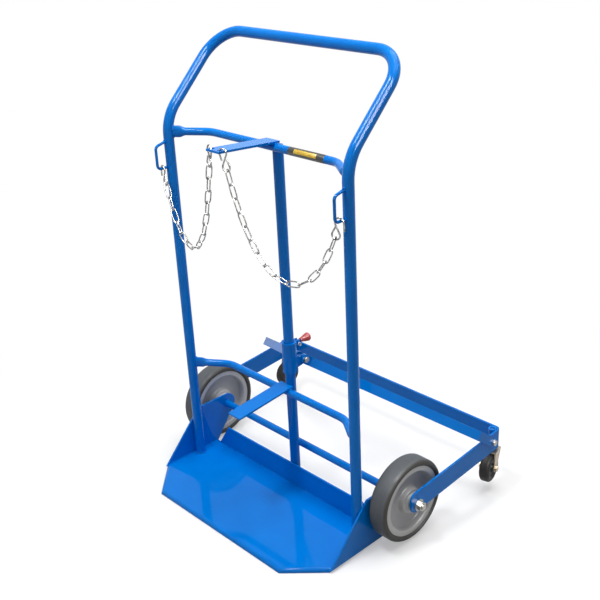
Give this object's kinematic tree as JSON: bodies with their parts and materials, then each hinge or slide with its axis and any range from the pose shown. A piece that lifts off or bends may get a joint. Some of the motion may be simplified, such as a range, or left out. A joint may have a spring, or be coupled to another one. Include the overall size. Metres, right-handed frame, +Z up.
{
  "type": "gas cylinder cart",
  "caption": "Tubular steel cart for two upright gas cylinders, with a toe plate, rubber-tyred wheels, retaining chains and a fold-up rear carriage on swivel casters.",
  "frame": {"origin": "on the floor, under the middle of the whole cart", "axes": "+X across the cart, -Y towards the toe plate, +Z up"},
  "size_m": [0.9456, 0.737, 1.334],
  "materials": {
    "blue_enamel": "gloss enamel",
    "zinc": "zinc plated",
    "chain_zinc": "bright zinc plated",
    "bearing_steel": "ground steel",
    "tyre_rubber": "matt",
    "hub_grey": "satin grey",
    "caster_grey": "matt",
    "caster_rubber": "matt",
    "red_grip": "gloss"
  },
  "bodies": {
    "frame": {"main_frame_tube": "blue_enamel", "upper_crossbar": "blue_enamel", "lower_crossbar": "blue_enamel", "centre_tube": "blue_enamel", "upper_divider_strap": "blue_enamel", "lower_divider_strap": "blue_enamel", "toe_plate": "blue_enamel", "left_gusset": "blue_enamel", "right_gusset": "blue_enamel", "axle": "zinc", "axle_tube": "blue_enamel", "left_axle_spacers": "zinc", "right_axle_spacers": "zinc", "left_axle_nut": "zinc", "right_axle_nut": "zinc", "left_chain_staple": "blue_enamel", "right_chain_staple": "blue_enamel"},
    "carriage": {"carriage_bar": "blue_enamel", "left_caster_socket": "blue_enamel", "right_caster_socket": "blue_enamel", "left_link_bolt": "zinc", "right_link_bolt": "zinc"},
    "brace": {"left_link": "blue_enamel", "right_link": "blue_enamel", "lug_bolt": "zinc"},
    "sleeve": {"slide_sleeve": "blue_enamel", "sleeve_lug": "blue_enamel", "lug_pin": "zinc", "latch_ears": "blue_enamel", "latch_pivot_pin": "zinc", "latch_spring": "bearing_steel"},
    "latch": {"latch_lever": "blue_enamel", "latch_rod": "blue_enamel", "latch_grip": "red_grip"},
    "left_wheel": {"left_tyre": "tyre_rubber", "left_wheel_hub": "hub_grey", "left_wheel_bearings": "bearing_steel"},
    "left_caster": {"left_caster_stem": "zinc", "left_caster_raceway": "zinc", "left_caster_fork": "zinc", "left_caster_axle": "zinc"},
    "left_caster_wheel": {"left_caster_core": "caster_grey", "left_caster_tread": "caster_rubber"},
    "left_chain_set": {"left_chain": "chain_zinc", "left_chain_hooks": "chain_zinc"},
    "right_wheel": {"right_tyre": "tyre_rubber", "right_wheel_hub": "hub_grey", "right_wheel_bearings": "bearing_steel"},
    "right_caster": {"right_caster_stem": "zinc", "right_caster_raceway": "zinc", "right_caster_fork": "zinc", "right_caster_axle": "zinc"},
    "right_caster_wheel": {"right_caster_core": "caster_grey", "right_caster_tread": "caster_rubber"},
    "right_chain_set": {"right_chain": "chain_zinc", "right_chain_hooks": "chain_zinc"}
  },
  "joints": [
    {"name": "carriage_fold", "type": "hinge", "parent": "frame", "child": "carriage", "pos_m": [0, -0.0135, 0.127], "axis": [1, 0, 0], "range_deg": [0, 70]},
    {"name": "brace_swing", "type": "hinge", "parent": "carriage", "child": "brace", "pos_m": [0, 0.3175, 0.171], "axis": [1, 0, 0], "range_deg": [-113.24, 0]},
    {"name": "sleeve_slide", "type": "slide", "parent": "frame", "child": "sleeve", "axis": [0, 0, 1], "range_m": [0, 0.43699]},
    {"name": "latch_turn", "type": "hinge", "parent": "sleeve", "child": "latch", "pos_m": [0, -0.0195, 0.472], "axis": [1, 0, 0], "range_deg": [0, 25], "stiffness_Nm_per_rad": 0.4, "springref_deg": -17.19},
    {"name": "left_wheel_spin", "type": "hinge", "parent": "frame", "child": "left_wheel", "pos_m": [-0.406, -0.0135, 0.127], "axis": [1, 0, 0], "continuous": true},
    {"name": "left_caster_swivel", "type": "hinge", "parent": "carriage", "child": "left_caster", "pos_m": [-0.435, 0.3425, 0.165], "axis": [0, 0, 1], "continuous": true},
    {"name": "left_caster_spin", "type": "hinge", "parent": "left_caster", "child": "left_caster_wheel", "pos_m": [-0.435, 0.3225, 0.076], "axis": [1, 0, 0], "continuous": true},
    {"name": "left_chain_swing", "type": "hinge", "parent": "frame", "child": "left_chain_set", "pos_m": [-0.026, -0.25584, 1.09616], "axis": [-0.9071, 0.2165, -0.361], "range_deg": [-8, 20]},
    {"name": "right_wheel_spin", "type": "hinge", "parent": "frame", "child": "right_wheel", "pos_m": [0.406, -0.0135, 0.127], "axis": [1, 0, 0], "continuous": true},
    {"name": "right_caster_swivel", "type": "hinge", "parent": "carriage", "child": "right_caster", "pos_m": [0.435, 0.3425, 0.165], "axis": [0, 0, 1], "continuous": true},
    {"name": "right_caster_spin", "type": "hinge", "parent": "right_caster", "child": "right_caster_wheel", "pos_m": [0.44018, 0.32318, 0.076], "axis": [0.9659, 0.2588, 0], "continuous": true},
    {"name": "right_chain_swing", "type": "hinge", "parent": "frame", "child": "right_chain_set", "pos_m": [0.026, -0.25584, 1.09616], "axis": [0.9071, 0.2165, -0.361], "range_deg": [-20, 8]}
  ],
  "couplings": [
    {"joint": "brace_swing", "follows": "carriage_fold", "ratio": -1.617},
    {"joint": "sleeve_slide", "follows": "carriage_fold", "m_per_rad": 0.35752}
  ]
}
